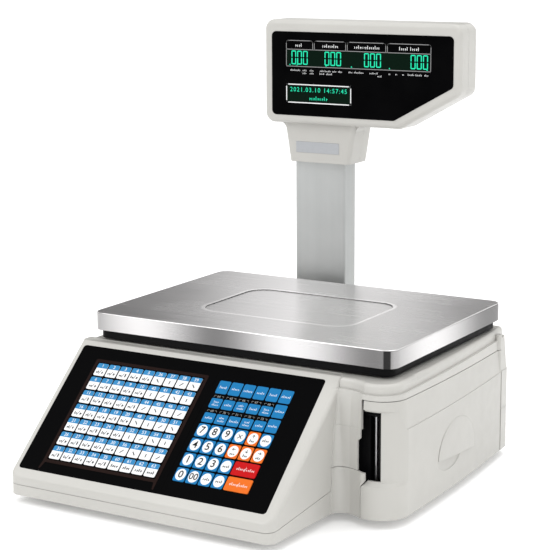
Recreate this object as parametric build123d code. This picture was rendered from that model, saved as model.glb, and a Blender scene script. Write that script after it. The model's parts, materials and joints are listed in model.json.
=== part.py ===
"""Retail price scale with a label printer, a keyboard, a platter and a display on a column.

Millimetres. +X is to the right, +Y to the back, +Z up. The origin is the centre of the outline on
the surface that the scale stands on.
"""
from build123d import *
import math
import os

os.makedirs("parts", exist_ok=True)

# ---------------------------------------------------------------- driving dimensions
wall = 3.0
seam = 0.5  # open line between two casings of the same body
foot_height = 10.0
floor_z = foot_height + wall

left_x = -206.0
front_y = -244.0
rear_y = 196.0
deck_z = 154.0
crease_z = 105.0  # above this height the walls of the main casing lean in
crease_ledge = 0.6
rim_z = 143.0  # foot of the rounded rim round the deck

keyboard_slope = 41.4
keyboard_right_x = 127.5
keyboard_root_x = 133.0  # right side of the keyboard wedge where it meets the main casing
bay_front_y = -119.0
corner_radius = 14.0

panel_width = 313.5
panel_length = 166.5
panel_centre_x = -41.5
panel_foot_y = -235.3
panel_foot_z = 38.5
film = 1.2
key_pitch_x = 15.6
key_pitch_s = 18.6
key_width = 13.9
key_length = 16.4
key_travel = 0.6
key_face = 0.4  # height of a fixed key over the film
key_gap = 0.4

platter_x = -2.0
platter_y = 37.0
platter_width = 383.0
platter_depth = 278.0
platter_top_z = 186.0
platter_skirt = 20.0
platter_sheet = 2.0

pole_x = -67.5
pole_y = 216.0
pole_width = 70.0
pole_depth = 28.0
pole_foot_z = 45.0
pole_top_z = 372.0

head_left_x = -132.5
head_right_x = 130.5
head_front_y = 179.0
head_rear_y = 226.0
head_split_y = 200.0
head_bottom_z = 377.5
head_top_z = 502.5
neck_split_y = 216.0
neck_bottom_z = 329.5
neck_front_y = 190.0
neck_rear_y = 238.0
shell = 2.5

slot_left_x = 165.0
slot_right_x = 185.5
slot_bottom_z = 51.0
slot_top_z = 125.0
bay_seam_z = 60.0
door_front_top_z = 137.0
door_top_z = 131.5  # at the hinge
door_gap = 0.7
hinge_x = 191.0
hinge_y = 162.0
hinge_radius = 4.0
pin_radius = 1.5
running_gap = 0.05

platen_x = 173.0
platen_y = -98.0
platen_radius = 6.0
shaft_radius = 2.5
roll_x = 138.0
roll_y = 70.0
roll_radius = 48.0
liner_x = 126.0
liner_y = -38.0
shelf_z = 38.0
gear_module = 1.0
platen_teeth = 24
pinion_teeth = 12

sin_slope = math.sin(math.radians(keyboard_slope))
cos_slope = math.cos(math.radians(keyboard_slope))
nodes = {}


# ---------------------------------------------------------------- helpers
def block(x0, x1, y0, y1, z0, z1):
    """A box between two corners."""
    centre = ((x0 + x1) / 2, (y0 + y1) / 2, (z0 + z1) / 2)
    return Pos(*centre) * Box(abs(x1 - x0), abs(y1 - y0), abs(z1 - z0))


def post(x, y, z0, z1, radius):
    """An upright round bar."""
    return Pos(x, y, (z0 + z1) / 2) * Cylinder(radius, z1 - z0)


def tube(x, y, z0, z1, outer, inner):
    return post(x, y, z0, z1, outer) - post(x, y, z0 - 1, z1 + 1, inner)


def rod(x, y, z, length, radius, axis):
    """A round bar centred on a point, along X or Y."""
    turn = Rot(0, 90, 0) if axis == "x" else Rot(90, 0, 0)
    return Pos(x, y, z) * turn * Cylinder(radius, length)


def prism(sketch, z0, z1):
    """A flat outline raised between two heights."""
    return extrude(Pos(0, 0, z0) * sketch, z1 - z0)


def from_front(points, y0, y1):
    """An outline in X and Z, carried from y0 back to y1."""
    outline = make_face(Polyline(*[(x, y0, z) for x, z in points], close=True))
    return extrude(outline, y1 - y0, dir=(0, 1, 0))


def from_side(points, x0, x1):
    """An outline in Y and Z, carried from x0 across to x1."""
    outline = make_face(Polyline(*[(x0, y, z) for y, z in points], close=True))
    return extrude(outline, x1 - x0, dir=(1, 0, 0))


def rounded_block(x0, x1, y0, y1, z0, z1, radius):
    """A box with rounded upright edges."""
    outline = RectangleRounded(x1 - x0, y1 - y0, radius)
    return extrude(Pos((x0 + x1) / 2, (y0 + y1) / 2, z0) * outline, z1 - z0)


def on_panel(x, s, height=0.0):
    """A place on the keyboard slope: x across, s up the slope from the panel's lower edge."""
    y = panel_foot_y + s * cos_slope - height * sin_slope
    z = panel_foot_z + s * sin_slope + height * cos_slope
    return Pos(x, y, z) * Rot(keyboard_slope, 0, 0)


def panel_block(x, s, width, length, low, high, radius=0.0):
    """A flat block lying on the keyboard slope between two heights above it."""
    outline = RectangleRounded(width, length, radius) if radius else Rectangle(width, length)
    return on_panel(x, s, low) * extrude(outline, high - low)


def keep(name, *solids):
    """Record the solids of one node."""
    nodes[name] = solids[0] if len(solids) == 1 else Compound(children=list(solids))


# ---------------------------------------------------------------- casing outlines
def main_outline(inset=0.0):
    """Plan of the main casing, with the printer bay standing forward on the right."""
    left = left_x + inset
    back = rear_y - inset
    step_y = panel_foot_y + 130 + inset
    bay_y = bay_front_y + inset
    bend = 0.7 * inset
    quarter = 0.293 * (corner_radius - inset)
    edges = [
        Line((left, step_y), (124, step_y)),
        Line((124, step_y), (keyboard_root_x, bay_y)),
        Line((keyboard_root_x, bay_y), (148, bay_y)),
        ThreePointArc((148, bay_y), (157, bay_y - 3), (slot_left_x, bay_y - 8)),
        ThreePointArc((slot_left_x, bay_y - 8), (192 - bend, -122.5 + bend), (205.5 - inset, -98)),
        ThreePointArc((205.5 - inset, -98), (203 - inset, 40), (193 - inset, rear_y - corner_radius)),
        ThreePointArc(
            (193 - inset, rear_y - corner_radius),
            (193 - inset - quarter, back - quarter),
            (193 - corner_radius, back),
        ),
        Line((193 - corner_radius, back), (left_x + corner_radius, back)),
        ThreePointArc(
            (left_x + corner_radius, back),
            (left + quarter, back - quarter),
            (left, rear_y - corner_radius),
        ),
        Line((left, rear_y - corner_radius), (left, step_y)),
    ]
    return make_face(edges)


def keyboard_outline(inset=0.0):
    """Plan of the keyboard wedge, running on into the main casing."""
    left = left_x + inset
    front = front_y + inset
    back = bay_front_y + 30
    front_right = keyboard_right_x - inset
    back_right = keyboard_root_x - inset
    corners = [(left, back), (left, front), (front_right, front), (back_right, back)]
    return make_face(Polyline(*corners, close=True))


def root_web(reach, set_back=0.0):
    """The hollow curve between the wedge's right side and the front of the printer bay."""
    side_x = keyboard_root_x - 0.5
    face_y = bay_front_y + set_back
    middle = (side_x + 0.293 * reach, face_y - 0.293 * reach)
    edges = [
        Line((126, face_y - reach), (side_x, face_y - reach)),
        ThreePointArc((side_x, face_y - reach), middle, (side_x + reach, face_y)),
        Line((side_x + reach, face_y), (side_x + reach, face_y + 2)),
        Line((side_x + reach, face_y + 2), (126, face_y + 2)),
        Line((126, face_y + 2), (126, face_y - reach)),
    ]
    return make_face(edges)


def wedge_profile(drop, bottom):
    """Side view of the keyboard wedge, its slope lowered by drop."""
    lip_z = panel_foot_z - (panel_foot_y - front_y) * sin_slope / cos_slope
    top_z = deck_z - 1 - drop
    lowered = lip_z - drop / cos_slope
    crest_y = front_y + (top_z - lowered) * cos_slope / sin_slope
    end_y = rear_y - 60
    return [(front_y, bottom), (front_y, lowered), (crest_y, top_z), (end_y, top_z), (end_y, bottom)]


main_plan = main_outline()
inner_plan = main_outline(wall)
lean_plan = main_outline(3.5)
rim_plan = main_outline(6.5)
deck_plan = main_outline(9.5)

wedge_side = from_side(wedge_profile(0, foot_height), left_x - 10, 160)
keyboard_wedge = prism(keyboard_outline(), foot_height, deck_z) & wedge_side
front_corners = keyboard_wedge.edges().filter_by(Axis.Z).sort_by(Axis.Y)[:2]
keyboard_wedge = fillet(front_corners, 12)
slope_face = keyboard_wedge.faces().filter_by(lambda f: abs(f.normal_at().Z - cos_slope) < 0.01)[0]
bezel_edges = [e for e in slope_face.edges() if e.center().Z < deck_z - 4]
keyboard_wedge = fillet(bezel_edges, 5)
lower_web = [Pos(0, 0, foot_height) * root_web(13), Pos(0, 0, crease_z) * root_web(5)]
leaning_web = [Pos(0, 0, crease_z) * root_web(5, crease_ledge), Pos(0, 0, rim_z) * root_web(1.2, 3.5)]
web = loft(lower_web, ruled=True) + loft(leaning_web, ruled=True)
keyboard_wedge += web & wedge_side
lower_casing = prism(main_plan, foot_height, crease_z)
crease_plan = main_outline(crease_ledge)
leaning_casing = loft([Pos(0, 0, crease_z) * crease_plan, Pos(0, 0, rim_z) * lean_plan], ruled=True)
rim_casing = prism(rim_plan, rim_z - 2, deck_z)
rim_casing = fillet(rim_casing.faces().sort_by(Axis.Z)[-1].edges(), 4.5)
outer_form = keyboard_wedge + lower_casing + leaning_casing + rim_casing

wedge_room = prism(keyboard_outline(wall), floor_z, deck_z)
wedge_room = fillet(wedge_room.edges().filter_by(Axis.Z).sort_by(Axis.Y)[:2], 12 - wall)
wedge_hollow = wedge_room & from_side(wedge_profile(wall, floor_z), left_x - 10, 160)
hollow = wedge_hollow + prism(inner_plan, floor_z, crease_z)
hollow += prism(main_outline(wall + 3.5), crease_z - 2, rim_z - 1)
hollow += prism(deck_plan, rim_z - 2, deck_z - wall)
shell_form = outer_form - hollow

# ---------------------------------------------------------------- door and seam regions
step_x = 171.0  # the lower casing reaches this far across the door's front edge
step_low_z = 42.0


def door_region(gap):
    """The part of the casing that the door takes up, grown by a gap."""
    low = foot_height + 0.6 - gap
    side = [(-140, low), (-140, door_front_top_z + gap), (hinge_y, door_top_z + gap), (hinge_y, low)]
    step = [
        (slot_left_x - 2, step_low_z + gap),
        (step_x - gap, step_low_z + 9 + gap),
        (step_x - gap, bay_seam_z),
        (slot_left_x - 2, bay_seam_z),
    ]
    return from_side(side, slot_left_x - gap, 230) - from_front(step, -140, bay_front_y + 12)


def seam_region(lift):
    """Everything below the line where the lower and upper casings meet."""
    points = [
        (front_y - 5, 0),
        (front_y - 5, 21 + lift),
        (bay_front_y - 10, 35 + lift),
        (bay_front_y - 10, bay_seam_z + lift),
        (rear_y + 5, bay_seam_z + lift),
        (rear_y + 5, 0),
    ]
    return from_side(points, -230, 230)


def recess_plan(depth):
    """Plan of everything outside a flatter curve that stands back from the door's front corner."""
    centre_x = 173.8
    centre_y = -96.5
    reach = 31.7
    left_y = centre_y - math.sqrt((reach - depth) ** 2 - (centre_x - 164) ** 2)
    middle = reach - 0.75 * depth
    edges = [
        ThreePointArc((164, left_y), (centre_x + 0.643 * middle, centre_y - 0.766 * middle), (205.6, -97)),
        Line((205.6, -97), (215, -97)),
        Line((215, -97), (215, -140)),
        Line((215, -140), (164, -140)),
        Line((164, -140), (164, left_y)),
    ]
    return make_face(edges)


recess_depth = 5.0
recess_low = slot_bottom_z - 1
recess_high = slot_top_z + 1
deep_plan = recess_plan(recess_depth)
shallow_plan = recess_plan(0)
recess = prism(deep_plan, recess_low, recess_high)
for edge_z, slant in ((recess_low, -4), (recess_high, 2)):
    recess += loft([Pos(0, 0, edge_z) * deep_plan, Pos(0, 0, edge_z + slant) * shallow_plan], ruled=True)
recess_wall = prism(recess_plan(recess_depth + wall), recess_low - 8, recess_high + 4)

door_hollow = prism(main_outline(wall), 0, crease_z) + loft(
    [Pos(0, 0, crease_z) * main_outline(wall), Pos(0, 0, rim_z) * main_outline(wall + 3.5)], ruled=True
)
door_form = lower_casing + leaning_casing - door_hollow
door_form += recess_wall & (lower_casing + leaning_casing)
door_form -= recess
slot_back_y = bay_front_y + 15
slot_hole = block(slot_left_x - 1, slot_right_x, -140, slot_back_y, slot_bottom_z, slot_top_z)
head_gap = block(slot_left_x - 1, slot_left_x + 2.3, -140, slot_back_y, slot_top_z - 1, deck_z)
barrel_room_top = door_top_z + door_gap
barrel_room = post(hinge_x, hinge_y, foot_height - 1, barrel_room_top, hinge_radius + 0.4)
relief_y = hinge_y + hinge_radius + 0.6
rear_relief = block(hinge_x, 230, hinge_y - 1, relief_y, foot_height - 1, barrel_room_top)

# ---------------------------------------------------------------- casings
foot_places = [(-165, -205), (88, -205), (160, 160), (-165, 160)]
foot_thread = 4.0
lower_shell = shell_form & seam_region(0)
door_room = door_region(door_gap)
floor_strip = door_room - prism(main_outline(wall + door_gap), 0, deck_z)
base_tray = lower_shell - floor_strip - barrel_room - rear_relief
base_tray += post(hinge_x, hinge_y, foot_height, floor_z, hinge_radius)
base_tray += block(hinge_x - 16, hinge_x, hinge_y - 3.5, hinge_y + 3.5, foot_height, floor_z)
for x, y in foot_places:
    base_tray += post(x, y, floor_z - 1, 24, 9)
    base_tray -= post(x, y, 0, 25, foot_thread + running_gap)
screw_places = [(-190, -85), (-60, -225), (150, -60), (-180, 110), (60, 180)]
for x, y in screw_places:
    base_tray += post(x, y, floor_z - 1, 28, 6)
    base_tray -= post(x, y, 0, 26, 2)
    base_tray -= post(x, y, 0, 12, 4)
base_tray -= post(hinge_x, hinge_y, 0, 20, pin_radius)
cell_left_x = platter_x - 75
cell_right_x = platter_x + 75
cell_low = 76.0
cell_stand = block(cell_left_x, cell_left_x + 36, platter_y - 20, platter_y + 20, floor_z - 1, cell_low)
base_tray += cell_stand

upper_shell = shell_form - seam_region(seam)
upper_housing = upper_shell - door_room - barrel_room - rear_relief
recess = panel_block(panel_centre_x, panel_length / 2, panel_width + 0.4, panel_length + 0.4, -film, 9, 4)
upper_housing -= recess
key_window_x = 40.5
key_window_s = 82.0
upper_housing -= panel_block(key_window_x, key_window_s, 102, 140, -9, 2, 3)
notch_outline = [(159.5, 50), (159.5, 92), (slot_left_x, 97), (172, 97), (172, 50)]
upper_housing -= from_front(notch_outline, -140, bay_front_y + 12)
deck_hole = block(22, 84, platter_y - 34, platter_y + 34, deck_z - 8, deck_z + 4)
upper_housing -= deck_hole
upper_housing += post(hinge_x, hinge_y, door_top_z + door_gap, deck_z - 4, hinge_radius)
upper_housing -= post(hinge_x, hinge_y, door_top_z - 2, door_top_z + 8, pin_radius)

printer_door = (door_form & door_region(0)) - head_gap - slot_hole
barrel = post(hinge_x, hinge_y, floor_z + 0.5, door_top_z, hinge_radius)
printer_door = printer_door - post(hinge_x, hinge_y, 0, 200, hinge_radius + 0.3) + barrel
printer_door += door_form & block(hinge_x, 200, hinge_y - 9, hinge_y, floor_z + 0.5, door_top_z)
printer_door -= post(hinge_x, hinge_y, 0, 200, pin_radius + running_gap)
level_x = -150.0
level_y = 150.0
level_radius = 5.0
upper_housing -= post(level_x, level_y, deck_z - 10, deck_z + 4, level_radius)
keep("upper_housing", upper_housing)
grip_x = 203.6
grip_y = 25.0
grip_z = 47.0
grip_rise = 2.2
grip_turn = 2.2  # the door's side faces this many degrees off square at the grip
grip = Pos(grip_x, grip_y, grip_z) * Rot(0, 0, grip_turn) * scale(Sphere(1), (grip_rise, 50, 40))
scoop = Pos(grip_x + 0.7, grip_y - 20, grip_z) * Rot(0, 0, grip_turn) * scale(Sphere(1), (2, 30, 13))
lip_left = (-40, 51)
lip_right = (90, 40)
printer_door += grip & from_side([lip_left, (-40, 95), (90, 95), lip_right], 202, 212)
printer_door -= scoop & from_side([lip_left, (-40, 30), (90, 30), lip_right], 200, 212)
keep("printer_door", printer_door)

hinge_pin = post(hinge_x, hinge_y, foot_height + 0.5, door_top_z + 7, pin_radius)
keep("door_hinge_pin", hinge_pin)
catch_arm = block(188, 204, -70, -58, 92, 96)
catch_hook = block(188, 191, -70, -58, 87, 96)
keep("door_catch", (catch_arm + catch_hook) & prism(main_outline(wall), 0, crease_z))

screws = []
for x, y in screw_places:
    screws.append(post(x, y, foot_height + 0.4, 12, 3.8) + post(x, y, 12, 26, 2))
keep("case_screws", *screws)

for name, (x, y) in zip(["front_left", "front_right", "rear_right", "rear_left"], foot_places):
    pad = post(x, y, 0, 3, 16) + post(x, y, 3, foot_height - 0.5, 13)
    stem = post(x, y, 3, 22, foot_thread)
    keep(f"levelling_foot_{name}", pad + stem)

# ---------------------------------------------------------------- keyboard
preset_left_x = -166.7
preset_top_s = 145.3
function_left_x = -5.8
function_top_s = 146.4


def key_centre(left, top, column, row, columns_wide=1):
    """Centre of a key on the slope, counted from the top left key."""
    x = left + column * key_pitch_x + (key_width + (columns_wide - 1) * key_pitch_x) / 2
    return x, top - row * key_pitch_s - key_length / 2


def fixed_key(left, top, column, row, low=0.0):
    x, s = key_centre(left, top, column, row)
    return panel_block(x, s - low / 2, key_width, key_length - low, 0, key_face, 1.6)


def moving_key(column, row, columns_wide=1):
    """A key cap that travels into the key film: its face stands above the film."""
    x, s = key_centre(function_left_x, function_top_s, column, row, columns_wide)
    width = key_width + (columns_wide - 1) * key_pitch_x
    return panel_block(x, s, width, key_length, -film - key_gap, key_travel, 1.6)


def key_hole(column, row, columns_wide=1):
    x, s = key_centre(function_left_x, function_top_s, column, row, columns_wide)
    width = key_width + (columns_wide - 1) * key_pitch_x
    return panel_block(x, s, width + 2 * key_gap, key_length + 2 * key_gap, -film - 1, 1, 2.0)


digit_cells = {
    "7": (0, 3), "8": (1, 3), "9": (2, 3),
    "4": (0, 4), "5": (1, 4), "6": (2, 4),
    "1": (0, 5), "2": (1, 5), "3": (2, 5), "0": (0, 6),
}
wide_cells = {"red": (4, 5), "orange": (4, 6)}

overlay = panel_block(panel_centre_x, panel_length / 2, panel_width, panel_length, -film, 0, 4)
for cell in digit_cells.values():
    overlay -= key_hole(*cell)
for cell in wide_cells.values():
    overlay -= key_hole(*cell, columns_wide=2)
keep("keypad_overlay", overlay)
keep("keypad_plate", panel_block(panel_centre_x, panel_length / 2 + 2, 296, 142, -wall - 3, -wall - 1.4))

presets = [fixed_key(preset_left_x, preset_top_s, c, r) for r in range(7) for c in range(9)]
keep("preset_keys", *presets)
frame_width = 149.6
frame_length = 138.5
frame_x = -97.2
frame_s = 81.2
frame_outer = panel_block(frame_x, frame_s, frame_width, frame_length, 0, 0.3, 2)
frame_inner = panel_block(frame_x, frame_s, frame_width - 7.6, frame_length - 7.6, -1, 1, 1)
keep("preset_frame", frame_outer - frame_inner)

used = set(digit_cells.values()) | {(4, 5), (5, 5), (4, 6), (5, 6)}
functions = []
for row in range(7):
    for column in range(6):
        if (column, row) not in used:
            short = 4.2 if row in (1, 2) and column < 5 else 0.0
            functions.append(fixed_key(function_left_x, function_top_s, column, row, short))
keep("function_keys", *functions)

# ---------------------------------------------------------------- platter and weighing parts
cell_top_z = 100.0
post_x = cell_right_x - 18
cell = block(cell_left_x, cell_right_x, platter_y - 20, platter_y + 20, cell_low, cell_top_z)
waist_hole = rod(platter_x - 12, platter_y, 88, 60, 9, "y") + rod(platter_x + 12, platter_y, 88, 60, 9, "y")
waist_slot = block(platter_x - 12, platter_x + 12, platter_y - 30, platter_y + 30, 85, 91)
keep("load_cell", cell - waist_hole - waist_slot)

carrier_low = 156.5
carrier_top = 161.0
carrier_rim_z = 167.0
arm_top = 171.0
pad_low = 180.0
def platter_block(inset, z0, z1, radius):
    """A block under or in the platter, set in from its outline."""
    half_x = platter_width / 2 - inset
    half_y = platter_depth / 2 - inset
    return rounded_block(
        platter_x - half_x, platter_x + half_x, platter_y - half_y, platter_y + half_y, z0, z1, radius
    )


carrier = platter_block(5, carrier_low, carrier_rim_z, 12)
carrier -= platter_block(8, carrier_top, carrier_rim_z + 1, 9)
carrier += post(post_x, platter_y, cell_top_z + 1, carrier_low + 1, 16)
arm_x = platter_width / 2 - 22
arm_y = platter_depth / 2 - 22
arm_low = carrier_top - 1
carrier += block(platter_x - arm_x, platter_x + arm_x, platter_y - 8, platter_y + 8, arm_low, arm_top)
pads = []
for side in (-1, 1):
    x = platter_x + side * arm_x
    carrier += block(x - 8, x + 8, platter_y - arm_y, platter_y + arm_y, arm_low, arm_top)
    for end in (-1, 1):
        y = platter_y + end * arm_y
        carrier += post(x, y, arm_top - 1, pad_low, 8)
        pads.append(post(x, y, pad_low, platter_top_z - platter_sheet - 0.3, 9))
keep("platter_carrier", carrier)
keep("carrier_pads", *pads)

platter_low = platter_top_z - platter_skirt
platter = platter_block(0, platter_low, platter_top_z, 14)
platter = fillet(platter.faces().sort_by(Axis.Z)[-1].edges(), 1.5)
platter -= platter_block(platter_sheet, platter_low - 1, platter_top_z - platter_sheet, 14 - platter_sheet)
field = Pos(-2, 36, platter_top_z - 1.1) * extrude(RectangleRounded(192, 132, 24), 3)
field = fillet(field.faces().sort_by(Axis.Z)[0].edges(), 1.0)
platter -= field
keep("platter", platter)

# ---------------------------------------------------------------- inside the main casing
board_studs = [post(x, y, floor_z, 30, 3) for x in (-178, -107) for y in (-52, 82)]
keep("main_board", block(-185, -100, -60, 92, 30, 31.6), *board_studs)
keep("power_supply", rounded_block(-60, 40, 100, 175, floor_z, 48, 2))
inlet_x = -150.0
inlet_z = 38.0
inlet = block(inlet_x - 15, inlet_x + 15, rear_y - 22, rear_y + 0.6, inlet_z - 11, inlet_z + 11)
inlet -= block(inlet_x - 12, inlet_x + 12, rear_y - 14, rear_y + 2, inlet_z - 8, inlet_z + 8)
for dx, dz in ((-6, -2), (6, -2), (0, 2)):
    pin_x = inlet_x + dx
    pin_z = inlet_z + dz
    inlet += block(pin_x - 1, pin_x + 1, rear_y - 15, rear_y - 5, pin_z - 2, pin_z + 2)
ports_left_x = 7.0
ports_right_x = 81.0
ports = block(ports_left_x, ports_right_x, rear_y - 20, rear_y + 0.6, 30, 46)
ports += block(ports_left_x, ports_right_x, rear_y - wall, rear_y, 46, bay_seam_z)
for port_x in (16.0, 44.0, 72.0):
    ports -= block(port_x - 6.5, port_x + 6.5, rear_y - 15, rear_y + 2, 32, 43.5)
keep("data_ports", ports)
base_tray -= block(ports_left_x, ports_right_x, rear_y - 10, rear_y + 2, 30, bay_seam_z + 1)
rocker_x = -178.0
rocker_z = 38.0
rocker_case = block(rocker_x - 8, rocker_x + 8, rear_y - 18, rear_y + 1, rocker_z - 11, rocker_z + 11)
rocker_room = block(rocker_x - 6.5, rocker_x + 6.5, rear_y - 12, rear_y + 2, rocker_z - 9.5, rocker_z + 9.5)
bridge = block(rocker_x + 8, inlet_x - 15, rear_y - 18, rear_y + 0.6, rocker_z - 11, rocker_z + 11)
keep("power_inlet", inlet + bridge + rocker_case - rocker_room)
base_tray -= block(rocker_x - 8, inlet_x + 15, rear_y - 10, rear_y + 2, inlet_z - 11, inlet_z + 11)
rocker_outline = [(rear_y - 3, rocker_z - 8.4), (rear_y + 2.6, rocker_z - 8.4), (rear_y + 0.2, rocker_z)]
rocker_outline += [(rear_y + 0.2, rocker_z + 8.4), (rear_y - 3, rocker_z + 8.4), (rear_y - 7, rocker_z)]
keep("power_rocker", from_side(rocker_outline, rocker_x - 6, rocker_x + 6))
keep("bubble_level", post(level_x, level_y, deck_z - wall, deck_z + 1, level_radius))

keep("base_tray", base_tray)

# ---------------------------------------------------------------- label printer
chassis = block(83, 85, -75, 180, floor_z, 125)
chassis += block(85, 176, -75, 148, shelf_z, shelf_z + 3)
chassis += block(85, 97, -75, 180, floor_z, floor_z + 3)
for leg_y in (-70, 138):
    chassis += block(168, 176, leg_y, leg_y + 6, floor_z, shelf_z)
chassis += post(liner_x, liner_y, shelf_z, 112, 6)
chassis -= post(roll_x, roll_y, 0, 60, 8)
keep("printer_chassis", chassis)
spindle = post(roll_x, roll_y, shelf_z + 3, shelf_z + 6, 40) + post(roll_x, roll_y, floor_z, 110, 8)
spindle += post(roll_x, roll_y, shelf_z + 3, 110, 12.5)
keep("roll_spindle", spindle)
roll_low = shelf_z + 7
roll_top = roll_low + 62
keep("roll_core", tube(roll_x, roll_y, roll_low, roll_top, 14.5, 12.5 + running_gap))
keep("label_roll", tube(roll_x, roll_y, roll_low + 1, roll_top - 1, roll_radius, 14.5))
spool = tube(liner_x, liner_y, shelf_z + 4, 108, 11, 6 + running_gap)
spool += tube(liner_x, liner_y, shelf_z + 4, shelf_z + 6, 30, 6 + running_gap)
spool += tube(liner_x, liner_y, shelf_z + 6, 106, 22, 10.5)
keep("liner_spool", spool)

frame_low = 46.0
frame_top = 120.0
frame_back = -78.0
frame_front = bay_front_y + 8
print_frame = block(150, 186, frame_front, frame_back, frame_low - 3, frame_low)
print_frame += block(150, 186, frame_front, frame_back, frame_top - 3, frame_top)
print_frame += block(147, 150, frame_front, frame_back, frame_low - 3, frame_top)
print_frame += block(85, 150, frame_back - 3, frame_back, shelf_z - 4, 80)
print_frame += block(147, 150, frame_back - 3, frame_back, shelf_z - 4, frame_top)
print_frame += block(183, 186, frame_front, frame_front + 6, frame_low, frame_top)
print_frame -= post(platen_x, platen_y, 0, 200, shaft_radius + running_gap)
print_frame -= post(156, -88, 100, 200, 2 + running_gap)
keep("print_frame", print_frame)
keep("platen_shaft", post(platen_x, platen_y, 30, frame_top + 2, shaft_radius))
keep("platen_roller", tube(platen_x, platen_y, frame_low + 1, frame_top - 4, platen_radius, shaft_radius))
head_x0 = 152.0
head_x1 = platen_x - platen_radius - 0.4
keep("print_head", block(head_x0, head_x1, -108, -94, frame_low + 0.6, frame_top - 3.6))
keep("peel_bar", block(174, 175.5, frame_front, platen_y - platen_radius - 1.5, frame_low, frame_top - 3))


def gear(x, y, teeth, z0, z1, bore, turn):
    """A spur gear: straight flanked teeth on a root disc."""
    pitch = gear_module * teeth / 2
    step = 360 / teeth
    tip = pitch + 0.8 * gear_module
    root = pitch - 1.1 * gear_module
    tooth = [(root, -0.31), (pitch, -0.2), (tip, -0.1), (tip, 0.1), (pitch, 0.2), (root, 0.31)]
    points = []
    for k in range(teeth):
        middle = turn + k * step
        for radius, share in tooth:
            angle = math.radians(middle + share * step)
            points.append((radius * math.cos(angle), radius * math.sin(angle)))
    body = extrude(Pos(x, y, z0) * make_face(Polyline(*points, close=True)), z1 - z0)
    return body - post(x, y, z0 - 1, z1 + 1, bore)


gear_gap = gear_module * (platen_teeth + pinion_teeth) / 2 + 0.15
mesh_angle = 145.0
motor_x = platen_x + gear_gap * math.cos(math.radians(mesh_angle))
motor_y = platen_y + gear_gap * math.sin(math.radians(mesh_angle))
half_tooth = 180 / platen_teeth
keep("platen_gear", gear(platen_x, platen_y, platen_teeth, 31, 37, shaft_radius, mesh_angle + half_tooth))
keep("motor_pinion", gear(motor_x, motor_y, pinion_teeth, 31, 37, 1.5 + running_gap, mesh_angle + 180))
motor = post(motor_x, motor_y, floor_z, 29.5, 15) + post(motor_x, motor_y, 29, 38, 1.5)
keep("feed_motor", motor)

lever = post(156, -88, 100, frame_top + 1, 2) + post(156, -88, frame_top + 1, frame_top + 4, 6)
lever += rounded_block(122, 156, -91.5, -84.5, frame_top + 1, frame_top + 4, 3)
keep("head_lever", lever - post(156, -88, 0, frame_top - 8, 3))

# ---------------------------------------------------------------- column and display head
pole_x0 = pole_x - pole_width / 2
pole_x1 = pole_x + pole_width / 2
pole_y0 = pole_y - pole_depth / 2
pole_y1 = pole_y + pole_depth / 2
pole = rounded_block(pole_x0, pole_x1, pole_y0, pole_y1, pole_foot_z, pole_top_z, 3)
pole -= block(pole_x0 + 2.5, pole_x - 1, pole_y0 + 2.5, pole_y1 - 2.5, 0, 400)
pole -= block(pole_x + 1, pole_x1 - 2.5, pole_y0 + 2.5, pole_y1 - 2.5, 0, 400)
keep("pole", pole)

bracket = rounded_block(pole_x0 - 12, pole_x1 + 12, rear_y, -front_y, 40, 150, 11)
bracket += block(pole_x0 - 12, pole_x1 + 12, rear_y, rear_y + 12, 40, 150)
bracket -= block(pole_x0, pole_x1, pole_y0, pole_y1, pole_foot_z, 200)
keep("pole_bracket", bracket)

slant_z = 421.0  # the head's lower right corner is cut off up to this height
front_outline = [
    (head_left_x, head_bottom_z), (52, head_bottom_z), (head_right_x, slant_z),
    (head_right_x, head_top_z), (head_left_x, head_top_z),
]
head_form = from_front(front_outline, head_front_y, head_rear_y)
head_form = fillet(head_form.edges().filter_by(Axis.Y), 12)
head_form = fillet(head_form.faces().sort_by(Axis.Y)[0].edges(), 6)
head_form = fillet(head_form.faces().sort_by(Axis.Y)[-1].edges(), 7)
neck_top_z = head_bottom_z + 8
neck_outline = [(-104, neck_bottom_z), (-21, neck_bottom_z), (-12, neck_top_z), (-113, neck_top_z)]
neck_form = from_front(neck_outline, neck_front_y, neck_rear_y)
neck_form = fillet(neck_form.edges().filter_by(lambda e: abs(e.tangent_at(0.5).Z) > 0.9), 6)
neck_form = fillet(neck_form.faces().sort_by(Axis.Z)[-1].edges(), 3)
shoulder_z = head_bottom_z - 11
shoulder_y = (neck_front_y + neck_rear_y) / 2 - 6
shoulders = block(-122, -3, neck_front_y + 5, shoulder_y + 13, shoulder_z, head_bottom_z + 3)
for x in (-121.5, -3.5):
    shoulders -= rod(x, shoulder_y, shoulder_z, 60, 11, "y")
head_hollow = from_front(
    [
        (head_left_x + shell, head_bottom_z + shell), (51, head_bottom_z + shell),
        (head_right_x - shell, slant_z + 1), (head_right_x - shell, head_top_z - shell),
        (head_left_x + shell, head_top_z - shell),
    ],
    head_front_y + shell, head_rear_y - shell,
)
head_hollow = fillet(head_hollow.edges().filter_by(Axis.Y), 9.5)
hollow_z = neck_bottom_z + shell
hollow_outline = [(-101, hollow_z), (-24, hollow_z), (-18, head_bottom_z), (-107, head_bottom_z)]
neck_hollow = from_front(hollow_outline, neck_front_y + shell, neck_rear_y - shell)
pole_socket = block(pole_x0, pole_x1, pole_y0, pole_y1, neck_bottom_z - 5, pole_top_z)
head_shell = head_form + neck_form + shoulders - head_hollow - neck_hollow - pole_socket


def front_region(gap):
    """What belongs to the front shell: it reaches further back in the neck than in the head."""
    tongue = block(-200, 200, 150, neck_split_y + gap, 300, head_bottom_z - 4 + gap)
    tongue = fillet(tongue.edges().filter_by(Axis.X).sort_by(Axis.Z)[2:].sort_by(Axis.Y)[1:], 8)
    return tongue + block(-200, 200, 150, head_split_y + gap, 300, 520)


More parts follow.
